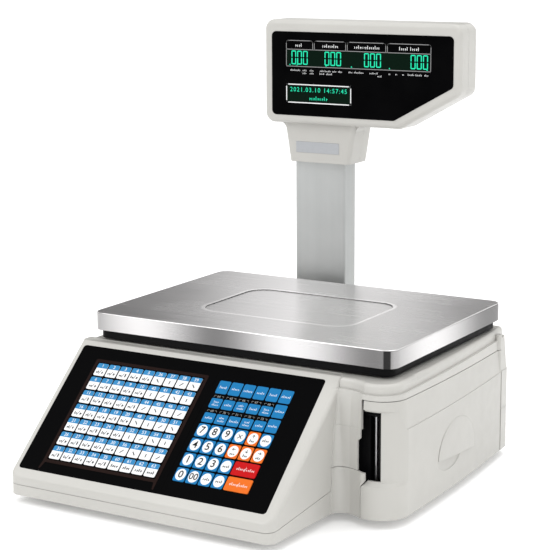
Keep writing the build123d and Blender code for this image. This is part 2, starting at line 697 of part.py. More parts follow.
window_outline = [(-121.5, 387.5), (45, 387.5), (121.5, 429.5), (121.5, 488.5), (-121.5, 488.5)]
window = from_front(window_outline, head_front_y - 0.4, head_front_y + 1.6)
window = fillet(window.edges().filter_by(Axis.Y), 6)
opening = from_front([(-113, 397), (42, 397), (112, 436), (112, 480), (-113, 480)], 170, head_front_y + 10)
window_seat = from_front(window_outline, head_front_y - 5, head_front_y + 1.6)
window_seat = fillet(window_seat.edges().filter_by(Axis.Y), 6)
name_plate = block(-94, -34.5, neck_front_y - 0.4, neck_front_y + 0.8, 341.3, 354.5)
head_front = (head_shell & front_region(0)) - window_seat - opening - name_plate
keep("head_front_shell", head_front)
keep("front_window", window)
keep("name_plate", name_plate)
rear_window = rounded_block(-112, 112, head_rear_y - 1.6, head_rear_y + 0.4, 432, 486, 0.3)
rear_opening = block(-104, 104, head_rear_y - 10, head_rear_y + 5, 438, 480)
keep("head_rear_shell", head_shell - front_region(0.3) - rear_window - rear_opening)
keep("rear_window", rear_window)
tube_board = block(-110, 108, head_front_y + 4, head_front_y + 5.6, 436, 481)
tubes = block(-104, 96, head_front_y + 2.4, head_front_y + 4, 444, 476)
keep("front_display", tube_board, tubes)
keep("rear_display", block(-100, 100, head_rear_y - 6, head_rear_y - 4.4, 440, 479))

# ---------------------------------------------------------------- moving keys
for digit, cell in digit_cells.items():
    keep(f"key_{digit}", moving_key(*cell))
for colour, cell in wide_cells.items():
    keep(f"key_{colour}_wide", moving_key(*cell, columns_wide=2))

# ---------------------------------------------------------------- write
for name, shape in nodes.items():
    export_step(shape, f"parts/{name}.step")
print(len(nodes), "nodes")
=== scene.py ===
"""Looks of a retail price scale: materials, key legends, display figures, light and camera.

Metres, in the frame of the CAD model: +X right, +Y back, +Z up, standing on z = 0.
"""
import json
import math

import bmesh
import bpy
from mathutils import Matrix, Vector


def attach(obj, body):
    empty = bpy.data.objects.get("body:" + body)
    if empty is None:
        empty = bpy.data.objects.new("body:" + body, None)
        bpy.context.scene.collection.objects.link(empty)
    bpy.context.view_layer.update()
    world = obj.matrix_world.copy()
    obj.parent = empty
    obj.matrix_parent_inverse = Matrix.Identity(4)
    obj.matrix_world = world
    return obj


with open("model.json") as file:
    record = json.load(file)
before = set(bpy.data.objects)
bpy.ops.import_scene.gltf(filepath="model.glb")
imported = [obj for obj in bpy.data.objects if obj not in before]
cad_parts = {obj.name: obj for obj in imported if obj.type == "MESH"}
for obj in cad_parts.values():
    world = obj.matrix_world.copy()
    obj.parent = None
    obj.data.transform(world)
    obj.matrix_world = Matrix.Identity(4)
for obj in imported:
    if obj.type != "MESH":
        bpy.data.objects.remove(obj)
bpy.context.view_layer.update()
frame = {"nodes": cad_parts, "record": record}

MM = 0.001
nodes = frame["nodes"]
slot_of = {part["node"]: part["material_slot"] for part in frame["record"]["subparts"]}

# ---------------------------------------------------------------- camera
CAMERA_AZIMUTH = 30.83
CAMERA_ELEVATION = 11.44
CAMERA_ROLL = -0.32
CAMERA_PLACE = (0.9743, -1.6530, 0.6179)
CAMERA_LENS = 114.1
SENSOR_WIDTH = 36
NEAREST_SHOWN = 0.05


def set_camera():
    turn = math.radians(CAMERA_AZIMUTH)
    rise = math.radians(CAMERA_ELEVATION)
    roll = math.radians(CAMERA_ROLL)
    back = Vector((math.sin(turn) * math.cos(rise), -math.cos(turn) * math.cos(rise), math.sin(rise)))
    right = Vector((math.cos(turn), math.sin(turn), 0))
    up = back.cross(right)
    side = math.cos(roll) * right + math.sin(roll) * up
    top = math.cos(roll) * up - math.sin(roll) * right
    data = bpy.data.cameras.new("camera")
    data.lens = CAMERA_LENS
    data.sensor_width = SENSOR_WIDTH
    data.clip_start = NEAREST_SHOWN
    camera = bpy.data.objects.new("camera", data)
    turned = Matrix((side, top, back)).transposed().to_4x4()
    camera.matrix_world = Matrix.Translation(CAMERA_PLACE) @ turned
    bpy.context.collection.objects.link(camera)
    bpy.context.scene.camera = camera


# ---------------------------------------------------------------- shader helpers
BEVEL_SAMPLES = 4


def add(tree, kind, inputs=None, **settings):
    """A shader node. An input value is a number, a colour, or another node's output to link."""
    node = tree.nodes.new("ShaderNode" + kind)
    for name, value in settings.items():
        setattr(node, name, value)
    for name, value in (inputs or {}).items():
        socket = node.inputs[name]
        if isinstance(value, bpy.types.NodeSocket):
            tree.links.new(value, socket)
        elif isinstance(value, (tuple, list)) and len(socket.default_value) == 4 and len(value) == 3:
            socket.default_value = (*value, 1)
        else:
            socket.default_value = value
    return node


def new_material(name):
    """A material with its tree, its main shader and coordinates in metres."""
    material = bpy.data.materials.new(name)
    material.use_nodes = True
    tree = material.node_tree
    shader = tree.nodes["Principled BSDF"]
    place = tree.nodes.new("ShaderNodeTexCoord").outputs["Object"]
    return material, tree, shader, place


def stretched(tree, place, x, y, z):
    return add(tree, "Mapping", {"Vector": place, "Scale": (x, y, z)}).outputs["Vector"]


def noise(tree, place, per_metre, detail):
    return add(tree, "TexNoise", {"Vector": place, "Scale": per_metre, "Detail": detail}).outputs["Fac"]


def remap(tree, value, low, high, start=0.3, end=0.7):
    """The value's span from start to end, spread between low and high."""
    inputs = {"Value": value, "From Min": start, "From Max": end, "To Min": low, "To Max": high}
    return add(tree, "MapRange", inputs).outputs["Result"]


def smooth(tree, value, start, end, low=0.0, high=1.0):
    """The same, with soft ends."""
    inputs = {"Value": value, "From Min": start, "From Max": end, "To Min": low, "To Max": high}
    return add(tree, "MapRange", inputs, interpolation_type="SMOOTHSTEP").outputs["Result"]


def calculate(tree, operation, *values):
    return add(tree, "Math", dict(enumerate(values)), operation=operation).outputs[0]


def blend_colour(tree, share, first, second):
    return add(tree, "Mix", {0: share, 6: first, 7: second}, data_type="RGBA").outputs[2]


def mix_value(tree, share, first, second):
    return add(tree, "Mix", {0: share, 2: first, 3: second}, data_type="FLOAT").outputs[0]


def surface_normal(tree):
    return tree.nodes.new("ShaderNodeNewGeometry").outputs["Normal"]


def rounded_normal(tree, radius):
    return add(tree, "Bevel", {"Radius": radius}, samples=BEVEL_SAMPLES).outputs["Normal"]


def relief(tree, shader, height, strength, depth, edge_radius=0.0):
    """Fine relief on a surface whose edges look rounded to a radius."""
    inputs = {"Height": height, "Strength": strength, "Distance": depth}
    if edge_radius:
        inputs["Normal"] = rounded_normal(tree, edge_radius)
    tree.links.new(add(tree, "Bump", inputs).outputs["Normal"], shader.inputs["Normal"])


def paint(tree, shader, share, first, second):
    """The shader's colour, from one colour to another by a share."""
    tree.links.new(blend_colour(tree, share, first, second), shader.inputs["Base Color"])


def dull(tree, shader, pattern, low, high):
    """The shader's roughness, between low and high by a pattern."""
    tree.links.new(remap(tree, pattern, low, high), shader.inputs["Roughness"])


def scaled(colour, factor):
    return tuple(factor * part for part in colour)


def wave(tree, value, peak, period, low, high):
    """A soft wave along a coordinate, highest at the peak."""
    turns = calculate(tree, "SUBTRACT", value, peak)
    swing = calculate(tree, "COSINE", calculate(tree, "MULTIPLY", turns, math.tau / period))
    return remap(tree, swing, low, high, -1.0, 1.0)


def overhang(tree, value, middle, reach):
    """How far a coordinate lies beyond a reach from the middle."""
    off = calculate(tree, "ABSOLUTE", calculate(tree, "SUBTRACT", value, middle))
    return calculate(tree, "MAXIMUM", calculate(tree, "SUBTRACT", off, reach), 0.0)


def edge_mask(tree, radius):
    """1 near an edge, 0 on flat stretches."""
    match = add(tree, "VectorMath", operation="DOT_PRODUCT")
    tree.links.new(rounded_normal(tree, radius), match.inputs[0])
    tree.links.new(surface_normal(tree), match.inputs[1])
    return remap(tree, match.outputs["Value"], 1.0, 0.0, 0.80, 0.995)


# ---------------------------------------------------------------- materials
# Radii in metres to which edges look rounded, or over which they look worn
PLASTIC_EDGE = 0.0007
METAL_EDGE = 0.0006
WORN_EDGE = 0.0012
BRIGHT_EDGE = 0.0008


def plastic(name, colour, roughness, grain=0.04, wear=(0.74, 0.74, 0.72), wear_share=0.25, shine=0.5):
    """Moulded plastic: fine spark grain, uneven gloss, faint handling marks, paler edges."""
    material, tree, shader, place = new_material(name)
    cloud = noise(tree, place, 14, 4)
    smudge = noise(tree, place, 75, 5)
    spark = noise(tree, place, 2400, 2)
    worn = calculate(tree, "MULTIPLY", edge_mask(tree, WORN_EDGE), remap(tree, smudge, 0, wear_share))
    body = blend_colour(tree, remap(tree, cloud, 0, 1), scaled(colour, 0.955), colour)
    paint(tree, shader, worn, body, wear)
    dull(tree, shader, smudge, roughness - 0.05, roughness + 0.07)
    relief(tree, shader, spark, grain, 0.0002, edge_radius=PLASTIC_EDGE)
    shader.inputs["IOR"].default_value = 1.49
    shader.inputs["Specular IOR Level"].default_value = shine
    return material


def brushed_metal(name, colour, roughness, grain=0.12, contrast=0.18):
    """Metal brushed along Z: fine parallel scratches and a streaky gloss."""
    material, tree, shader, place = new_material(name)
    scratches = noise(tree, stretched(tree, place, 1800, 1800, 12), 1, 3)
    streaks = noise(tree, stretched(tree, place, 160, 160, 2), 1, 4)
    smudge = noise(tree, place, 18, 3)
    paint(tree, shader, remap(tree, streaks, 0, 1), scaled(colour, 1 - contrast), colour)
    gloss = calculate(tree, "ADD", remap(tree, streaks, -0.05, 0.05), remap(tree, smudge, -0.03, 0.05))
    tree.links.new(calculate(tree, "ADD", gloss, roughness), shader.inputs["Roughness"])
    relief(tree, shader, scratches, grain, 0.00003, edge_radius=METAL_EDGE)
    shader.inputs["Metallic"].default_value = 1.0
    return material


# The platter's pressed field, in metres
FIELD_MIDDLE_X = -0.002
FIELD_MIDDLE_Y = 0.036
FIELD_HALF_WIDTH = 0.096
FIELD_HALF_DEPTH = 0.066
FIELD_CORNER = 0.024
# Width of the painted highlight bead round the field
HIGHLIGHT_BEAD_WIDTH = 0.006

# Painted light on the platter, as shares of its steel colour: painted reflection on the top, round the
# corner and in bands on the skirt, a painted highlight on edges, painted shade on the step's wall
TOP_REFLECTION_TONE = 0.75
EDGE_HIGHLIGHT_TONE = 0.95
STEP_SHADE_TONE = 0.12
CORNER_REFLECTION_TONE = 0.03
FRONT_REFLECTION_TONES = (0.18, 0.73)
SIDE_REFLECTION_TONES = (0.15, 0.72)

# Spans of the surface normal's parts over which one tone gives way to another
TOP_FACE = (0.35, 0.75)
LEVEL_FACE = (0.90, 0.985)
SIDE_FACE = (0.5, 0.9)
CORNER_START = (0.12, 0.20)
CORNER_END = (0.60, 0.70)

# Where the painted reflection bands on its skirt are lightest, and how far apart
FRONT_REFLECTION_PEAK = 0.070
FRONT_REFLECTION_PERIOD = 0.196
SIDE_REFLECTION_PEAK = -0.010
SIDE_REFLECTION_PERIOD = 0.300


def from_field(tree, spot):
    """Distance outside the platter's pressed field, a rounded rectangle seen from above."""
    across = overhang(tree, spot["X"], FIELD_MIDDLE_X, FIELD_HALF_WIDTH - FIELD_CORNER)
    along = overhang(tree, spot["Y"], FIELD_MIDDLE_Y, FIELD_HALF_DEPTH - FIELD_CORNER)
    squares = [calculate(tree, "POWER", side, 2.0) for side in (across, along)]
    length = calculate(tree, "POWER", calculate(tree, "ADD", *squares), 0.5)
    return calculate(tree, "SUBTRACT", length, FIELD_CORNER)


def skirt_tone(tree, spot, facing, sideways):
    """Painted reflection: soft light and dark bands along the front and the sides, and a dark stripe
    round the front right corner.
    """
    front = wave(tree, spot["X"], FRONT_REFLECTION_PEAK, FRONT_REFLECTION_PERIOD, *FRONT_REFLECTION_TONES)
    side = wave(tree, spot["Y"], SIDE_REFLECTION_PEAK, SIDE_REFLECTION_PERIOD, *SIDE_REFLECTION_TONES)
    band = mix_value(tree, smooth(tree, sideways, *SIDE_FACE), front, side)
    turning = smooth(tree, facing["X"], *CORNER_START)
    turned = smooth(tree, facing["X"], *CORNER_END, 1.0, 0.0)
    return mix_value(tree, calculate(tree, "MULTIPLY", turning, turned), band, CORNER_REFLECTION_TONE)


def platter_steel(name, colour):
    """Stainless sheet brushed along X. Its colour carries painted reflection (a light top, broad soft
    bands on its skirt), painted shade on the pressed step's wall, and painted highlights round the step
    and on upper edges.
    """
    material, tree, shader, place = new_material(name)
    scratches = noise(tree, stretched(tree, place, 14, 2200, 2200), 1, 3)
    streaks = noise(tree, stretched(tree, place, 5, 420, 420), 1, 4)
    smudge = noise(tree, place, 16, 3)
    spot = add(tree, "SeparateXYZ", {"Vector": place}).outputs
    facing = add(tree, "SeparateXYZ", {"Vector": surface_normal(tree)}).outputs
    sideways = calculate(tree, "ABSOLUTE", facing["X"])

    # Painted reflection: upward faces take a flat light tone, the skirt its painted bands and dark corner
    # stripe.
    upward = smooth(tree, facing["Z"], *TOP_FACE)
    tone = mix_value(tree, upward, skirt_tone(tree, spot, facing, sideways), TOP_REFLECTION_TONE)
    distance = from_field(tree, spot)
    # Painted shade: the steep wall just inside the pressed field is darkened.
    inside = calculate(tree, "LESS_THAN", distance, 0.0005)
    steep = smooth(tree, facing["Z"], *LEVEL_FACE, 1.0, 0.0)
    tone = mix_value(tree, calculate(tree, "MULTIPLY", inside, steep), tone, STEP_SHADE_TONE)
    # Painted highlight: a bright bead just outside the pressed field.
    rise = smooth(tree, distance, 0.0, 0.001)
    fall = smooth(tree, distance, HIGHLIGHT_BEAD_WIDTH / 2, HIGHLIGHT_BEAD_WIDTH, 1.0, 0.0)
    tone = mix_value(tree, calculate(tree, "MULTIPLY", rise, fall), tone, 1.0)
    # Painted highlight along rounded edges that face upward.
    edge = calculate(tree, "MULTIPLY", edge_mask(tree, BRIGHT_EDGE), upward)
    tone = mix_value(tree, edge, tone, EDGE_HIGHLIGHT_TONE)
    tone = calculate(tree, "MULTIPLY", tone, remap(tree, streaks, 0.97, 1.02))
    paint(tree, shader, tone, (0, 0, 0), colour)

    gloss = calculate(tree, "ADD", remap(tree, streaks, 0.255, 0.275), remap(tree, smudge, -0.01, 0.01))
    tree.links.new(gloss, shader.inputs["Roughness"])
    grain = add(tree, "CombineXYZ", {"Y": calculate(tree, "SUBTRACT", 1.0, sideways), "Z": 1.0})
    tree.links.new(grain.outputs["Vector"], shader.inputs["Tangent"])
    relief(tree, shader, scratches, 0.03, 0.00002, edge_radius=METAL_EDGE)
    shader.inputs["Anisotropic"].default_value = 0.95
    shader.inputs["Metallic"].default_value = 1.0
    return material


def printed(name, colour, roughness=0.33, shine=0.5):
    """Printed film or ink: faint mottle, light polish where fingers go."""
    material, tree, shader, place = new_material(name)
    mottle = noise(tree, place, 260, 4)
    touch = noise(tree, place, 40, 3)
    film_grain = noise(tree, place, 3000, 1)
    paint(tree, shader, remap(tree, mottle, 0, 1), scaled(colour, 0.95), colour)
    dull(tree, shader, touch, roughness - 0.07, roughness + 0.07)
    relief(tree, shader, film_grain, 0.03, 0.0001)
    shader.inputs["Specular IOR Level"].default_value = shine
    return material


def glowing(name, colour, strength):
    """A lit fluorescent segment: uneven phosphor under smoked acrylic."""
    material, tree, shader, place = new_material(name)
    dots = noise(tree, place, 900, 2)
    tone = blend_colour(tree, remap(tree, dots, 0, 1), scaled(colour, 0.75), colour)
    tree.links.new(tone, shader.inputs["Emission Color"])
    tree.links.new(tone, shader.inputs["Base Color"])
    dull(tree, shader, dots, 0.3, 0.45)
    shader.inputs["Emission Strength"].default_value = strength
    shader.inputs["Specular IOR Level"].default_value = 0.03
    return material


def acrylic(name, colour):
    """Gloss black window: polished, with dust haze and hairline marks."""
    material, tree, shader, place = new_material(name)
    haze = noise(tree, place, 30, 5)
    hair = noise(tree, stretched(tree, place, 60, 60, 900), 1, 2)
    dusty = tuple(part + 0.001 for part in colour)
    paint(tree, shader, remap(tree, haze, 0, 1), colour, dusty)
    dull(tree, shader, haze, 0.10, 0.2)
    relief(tree, shader, hair, 0.02, 0.0001)
    shader.inputs["Specular IOR Level"].default_value = 0.012
    return material


def rubber(name, colour):
    """Soft black rubber with a pale bloom and fine pores."""
    material, tree, shader, place = new_material(name)
    bloom = noise(tree, place, 120, 5)
    pores = noise(tree, place, 1800, 3)
    paler = tuple(1.8 * part + 0.01 for part in colour)
    paint(tree, shader, remap(tree, bloom, 0, 0.6), colour, paler)
    dull(tree, shader, pores, 0.62, 0.8)
    relief(tree, shader, pores, 0.15, 0.0002)
    return material


def paper(name, colour):
    """Label paper or card, wound: fine edge rings and fibre."""
    material, tree, shader, place = new_material(name)
    fibre = noise(tree, place, 1500, 4)
    layers = noise(tree, stretched(tree, place, 30, 30, 2500), 1, 2)
    paint(tree, shader, remap(tree, layers, 0, 1), scaled(colour, 0.9), colour)
    dull(tree, shader, fibre, 0.55, 0.75)
    relief(tree, shader, fibre, 0.1, 0.0001)
    return material


def liquid(name, colour):
    """The tinted fill of the bubble level."""
    material, tree, shader, place = new_material(name)
    swirl = noise(tree, place, 200, 2)
    paint(tree, shader, remap(tree, swirl, 0, 1), scaled(colour, 0.8), colour)
    dull(tree, shader, swirl, 0.05, 0.12)
    shader.inputs["Transmission Weight"].default_value = 0.6
    return material


PRINT_WHITE = (0.74, 0.745, 0.75)
INK_SHINE = 0.1

materials = {
    "case_plastic": plastic("case_plastic", (0.460, 0.452, 0.426), 0.36),
    # The door is the case's plastic made a little darker: painted shade against the fill light that falls
    # on it.
    "door_plastic": plastic("door_plastic", (0.440, 0.432, 0.406), 0.38),
    "black_film": plastic("black_film", (0.0012, 0.0012, 0.0014), 0.4, grain=0.02,
                          wear=(0.008, 0.008, 0.008), wear_share=0.1, shine=0.015),
    "preset_key": printed("preset_key", PRINT_WHITE, shine=INK_SHINE),
    "blue_key": printed("blue_key", (0.006, 0.150, 0.36), shine=INK_SHINE),
    "red_key": printed("red_key", (0.43, 0.0006, 0.002), shine=INK_SHINE),
    "orange_key": printed("orange_key", (0.64, 0.125, 0.01), shine=INK_SHINE),
    "brown_frame": printed("brown_frame", (0.012, 0.0055, 0.0045), 0.5, shine=0.04),
    "stainless": platter_steel("stainless", (0.99, 0.972, 0.972)),
    "steel": brushed_metal("steel", (0.50, 0.50, 0.51), 0.28),
    "black_plastic": plastic("black_plastic", (0.0045, 0.0045, 0.005), 0.45,
                             wear=(0.02, 0.02, 0.02), wear_share=0.2, shine=0.06),
    "rubber": rubber("rubber", (0.016, 0.016, 0.016)),
    "aluminium": brushed_metal("aluminium", (0.47, 0.48, 0.475), 0.55, grain=0.04, contrast=0.03),
    "window": acrylic("window", (0.0006, 0.0006, 0.0008)),
    "circuit_board": printed("circuit_board", (0.01, 0.10, 0.04)),
    "grey_plate": printed("grey_plate", (0.36, 0.372, 0.39), 0.4),
    "paper": paper("paper", (0.80, 0.80, 0.78)),
    "card": paper("card", (0.36, 0.25, 0.15)),
    "brass": brushed_metal("brass", (0.60, 0.42, 0.16), 0.3),
    "blue_lever": plastic("blue_lever", (0.02, 0.15, 0.42), 0.35),
    "level_liquid": liquid("level_liquid", (0.55, 0.8, 0.12)),
}
ink_white = printed("ink_white", PRINT_WHITE, shine=INK_SHINE)
ink_black = printed("ink_black", (0.008, 0.008, 0.009), shine=INK_SHINE)
ink_grey = printed("ink_grey", (0.30, 0.31, 0.31), shine=INK_SHINE)
band_blue = printed("band_blue", (0.030, 0.20, 0.42), shine=INK_SHINE)
tube_green = glowing("tube_green", (0.015, 0.50, 0.28), 0.85)
tube_dark = glowing("tube_dark", (0.001, 0.006, 0.003), 0.5)
tube_dim = glowing("tube_dim", (0.001, 0.004, 0.003), 0.2)
ink_line = printed("ink_line", (0.25, 0.25, 0.25), shine=INK_SHINE)

for name, node in nodes.items():
    node.data.materials.clear()
    node.data.materials.append(materials[slot_of[name]])


# ---------------------------------------------------------------- mesh helpers
# Thickness of the print, in millimetres
INK = 0.03

ARC_STEPS = 5
ELLIPSE_STEPS = 36

# A digit's height as a share of its font's size
FIGURE_SHARE = 0.7


def show(name, shape, place, material, body):
    """An object from a shape in millimetres, placed by a matrix, that rides on a body."""
    shape.transform(place @ Matrix.Scale(MM, 4))
    mesh = bpy.data.meshes.new(name)
    shape.to_mesh(mesh)
    shape.free()
    thing = bpy.data.objects.new(name, mesh)
    mesh.materials.append(material)
    bpy.context.collection.objects.link(thing)
    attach(thing, body)


def arc(x, y, radius, start, end):
    """Points round a centre, from one angle to another in degrees."""
    angles = [math.radians(start + (end - start) * step / ARC_STEPS) for step in range(ARC_STEPS + 1)]
    return [(x + radius * math.cos(angle), y + radius * math.sin(angle)) for angle in angles]


def rectangle(x, y, width, height, radius=0.0):
    """An outline round a centre, with rounded corners, in millimetres."""
    if radius == 0:
        return [(x - width / 2, y - height / 2), (x + width / 2, y - height / 2),
                (x + width / 2, y + height / 2), (x - width / 2, y + height / 2)]
    points = []
    for corner, (side, end) in enumerate(((1, -1), (1, 1), (-1, 1), (-1, -1))):
        middle_x = x + side * (width / 2 - radius)
        middle_y = y + end * (height / 2 - radius)
        points += arc(middle_x, middle_y, radius, 90 * corner - 90, 90 * corner)
    return points


def ellipse(x, y, width, height):
    steps = [math.tau * k / ELLIPSE_STEPS for k in range(ELLIPSE_STEPS)]
    return [(x + width / 2 * math.cos(step), y + height / 2 * math.sin(step)) for step in steps]


def strokes(points, width):
    """Thin bars along a line through the points."""
    bars = []
    for (x0, y0), (x1, y1) in zip(points, points[1:]):
        length = math.hypot(x1 - x0, y1 - y0)
        along = (width / 2 * (x1 - x0) / length, width / 2 * (y1 - y0) / length)
        x0, y0, x1, y1 = x0 - along[0], y0 - along[1], x1 + along[0], y1 + along[1]
        across = (-along[1], along[0])
        bars.append([
            (x0 - across[0], y0 - across[1]), (x1 - across[0], y1 - across[1]),
            (x1 + across[0], y1 + across[1]), (x0 + across[0], y0 + across[1]),
        ])
    return bars


def scribble(x, y, width, height, seed=0, weight=0.3):
    """A centred run of small upright bars that stands for a printed word."""
    step = 0.62 * height
    count = max(1, round(width / step))
    bars = []
    for k in range(count):
        tall = height * (0.62 + 0.38 * ((k * 5 + seed * 3) % 4 == 0))
        bar_x = x + (k - (count - 1) / 2) * step
        bars.append(rectangle(bar_x, y - (height - tall) / 2, weight * step, tall))
        if (k + seed) % 2:
            link = rectangle(bar_x + 0.3 * step, y - 0.1 * height, 0.5 * step, 0.5 * weight * height)
            bars.append(link)
    return bars


def raised(name, outlines, low, high, place, material, body="root"):
    """Flat shapes of a small thickness, placed by a matrix. Sizes in millimetres."""
    shape = bmesh.new()
    for outline in outlines:
        bottom = [shape.verts.new((x, y, low)) for x, y in outline]
        top = [shape.verts.new((x, y, high)) for x, y in outline]
        shape.faces.new(list(reversed(bottom)))
        shape.faces.new(top)
        for k in range(len(outline)):
            after = (k + 1) % len(outline)
            shape.faces.new((bottom[k], bottom[after], top[after], top[k]))
    show(name, shape, place, material, body)


def figures(name, entries, low, place, material, body="root", spread=1.0, weight=0.0):
    """Digits, each entry as (text, x, y, height), centred, in millimetres."""
    shape = bmesh.new()
    for text, x, y, height in entries:
        curve = bpy.data.curves.new("figure", "FONT")
        curve.body = text
        curve.size = height / FIGURE_SHARE
        curve.align_x = "CENTER"
        curve.align_y = "CENTER"
        curve.extrude = INK / 2
        curve.space_character = spread
        curve.offset = weight
        curve.resolution_u = 3
        holder = bpy.data.objects.new("figure", curve)
        bpy.context.collection.objects.link(holder)
        graph = bpy.context.evaluated_depsgraph_get()
        flat = bpy.data.meshes.new_from_object(holder.evaluated_get(graph))
        flat.transform(Matrix.Translation((x, y, low + INK / 2)))
        shape.from_mesh(flat)
        bpy.data.objects.remove(holder)
        bpy.data.curves.remove(curve)
        bpy.data.meshes.remove(flat)
    show(name, shape, place, material, body)


# ---------------------------------------------------------------- keyboard legends
# Millimetres: X runs along the key panel, and S runs up its slope from the foot
SLOPE_ANGLE = 41.4
PANEL_FOOT_Y = -235.3
PANEL_FOOT_Z = 38.5
KEY_PITCH_X = 15.6
KEY_PITCH_S = 18.6
KEY_WIDTH = 13.9
KEY_LENGTH = 16.4
KEY_CORNER = 1.6
BAND_DEPTH = 6.3
PRESET_LEFT_X = -166.7
PRESET_TOP_S = 145.3
PRESET_COLUMNS = 9
PRESET_ROWS = 7
LEFT_COLUMNS = 5
LAST_SLASH_NUMBER = 59
FUNCTION_LEFT_X = -5.8
FUNCTION_TOP_S = 146.4
FUNCTION_COLUMNS = 6
FIRST_SHIFT_NUMBER = 59
DISC_WIDTH = 12.0
DISC_LENGTH = 13.8
KEY_DIGIT_HEIGHT = 8.4
NOUGHTS_HEIGHT = 7.6
PRESET_NUMBER_HEIGHT = 4.0
SHIFT_NUMBER_HEIGHT = 2.7
FIXED_FACE = 0.4
COVER_FACE = 0.44
MOVING_FACE = 0.6

panel_foot = Matrix.Translation((0, PANEL_FOOT_Y * MM, PANEL_FOOT_Z * MM))
slope = panel_foot @ Matrix.Rotation(math.radians(SLOPE_ANGLE), 4, "X")


def key_centre(left, top, column, row, columns_wide=1):
    x = left + column * KEY_PITCH_X + (KEY_WIDTH + (columns_wide - 1) * KEY_PITCH_X) / 2
    return x, top - row * KEY_PITCH_S - KEY_LENGTH / 2


def function_centre(column, row, columns_wide=1):
    return key_centre(FUNCTION_LEFT_X, FUNCTION_TOP_S, column, row, columns_wide)


def key_band(x, s):
    """The coloured head of a preset key, round at its upper corners."""
    outline = rectangle(x, s, KEY_WIDTH, KEY_LENGTH, KEY_CORNER)
    foot = s + KEY_LENGTH / 2 - BAND_DEPTH
    upper = [point for point in outline if point[1] > foot]
    return [(x + KEY_WIDTH / 2, foot)] + upper + [(x - KEY_WIDTH / 2, foot)]


def preset_number(column, row):
    """The left columns count row by row from 1, and the right ones go on from there."""
    if column < LEFT_COLUMNS:
        return row * LEFT_COLUMNS + column + 1
    right_columns = PRESET_COLUMNS - LEFT_COLUMNS
    return PRESET_ROWS * LEFT_COLUMNS + row * right_columns + column - LEFT_COLUMNS + 1


def preset_mark(x, s, column, number):
    """Two words with a stroke between them, a short slanting stroke, or one word."""
    if column < LEFT_COLUMNS:
        first = scribble(x - 3.2, s - 3.4, 3.0, 3.2, number, 0.6)
        second = scribble(x + 3.3, s - 3.0, 3.4, 4.2, number + 1, 0.6)
        return first + strokes([(x - 0.9, s - 5.6), (x + 0.9, s - 1.0)], 0.7) + second
    if number <= LAST_SLASH_NUMBER:
        slant = 1.5 * ((number * 7) % 3 - 1)
        return strokes([(x - slant, s - 4.8), (x + slant, s - 1.6)], 1.1)
    return scribble(x, s - 3.0, 8.5, 3.8, number, 0.5)


def preset_keys():
    """A numbered blue head over a white field with a small mark, on each preset key."""
    bands = []
    numbers = []
    marks = []
    for row in range(PRESET_ROWS):
        for column in range(PRESET_COLUMNS):
            x, s = key_centre(PRESET_LEFT_X, PRESET_TOP_S, column, row)
            number = preset_number(column, row)
            bands.append(key_band(x, s))
            numbers.append((str(number), x, s + 5.0, PRESET_NUMBER_HEIGHT))
            marks += preset_mark(x, s, column, number)
    raised("preset_bands", bands, FIXED_FACE, FIXED_FACE + INK, slope, band_blue)
    figures("preset_numbers", numbers, FIXED_FACE + INK, slope, ink_white)
    raised("preset_marks", marks, FIXED_FACE, FIXED_FACE + INK, slope, ink_black)


def panel_lines():
    """The card frame's two feet, and the fine line between the two key fields."""
    feet = [[(-173.2, 3.5), (-171.0, 3.5), (-168.3, 12.5), (-172.0, 12.5)]]
    feet.append([(-24.4, 3.5), (-22.4, 3.5), (-22.4, 12.5), (-26.2, 12.5)])
    raised("frame_feet", feet, 0, 0.25, slope, materials["brown_frame"])
    between = strokes([(-13.2, 6), (-13.2, 156)], 0.7)
    raised("panel_line", between, 0, INK, slope, materials["window"])


def bracket(x, s, side):
    """A fine corner line beside a number."""
    outer = x + side * 5.6
    top = s + 0.9
    return strokes([(x + side * 3.4, top), (outer, top), (outer, s - 0.9)], 0.25)


def small_key_legends():
    """White words on the blue keys, and the numbers over the short ones."""
    words = []
    numbers = []
    brackets = []
    for row in (0, 1, 2):
        for column in range(FUNCTION_COLUMNS):
            x, s = function_centre(column, row)
            short = row > 0 and column < FUNCTION_COLUMNS - 1
            low = s - 2.1 if short else s
            if short and (row + column) % 2:
                words += scribble(x, low + 1.8, 7, 2.6, column)
                words += scribble(x, low - 1.9, 8.5, 2.6, column + row)
            else:
                words += scribble(x, low, 8.5 + (column % 3), 3.0, column + row)
            if short:
                number = FIRST_SHIFT_NUMBER + (FUNCTION_COLUMNS - 1) * row + column
                number_s = s + KEY_LENGTH / 2 - 1.6
                numbers.append((str(number), x, number_s, SHIFT_NUMBER_HEIGHT))
                for side in (-1, 1):
                    brackets += bracket(x, number_s, side)
    raised("function_words", words, FIXED_FACE, FIXED_FACE + INK, slope, ink_white)
    figures("shift_numbers", numbers, 0.02, slope, ink_grey)
    raised("shift_brackets", brackets, 0, INK, slope, ink_grey)


def arrow(x, s, direction):
    """An arrow of three strokes, pointing along a direction."""
    dx, ds = direction
    tip = (x + 1.7 * dx, s + 1.7 * ds)
    tail = (x - 1.7 * dx, s - 1.7 * ds)
    wings = []
    for side in (-1, 1):
        wings.append((tip[0] - 1.3 * dx + side * 1.2 * ds, tip[1] - 1.3 * ds + side * 1.2 * dx))
    return strokes([tail, tip], 0.7) + strokes([wings[0], tip, wings[1]], 0.7)


def disc(x, s):
    return ellipse(x, s, DISC_WIDTH, DISC_LENGTH)


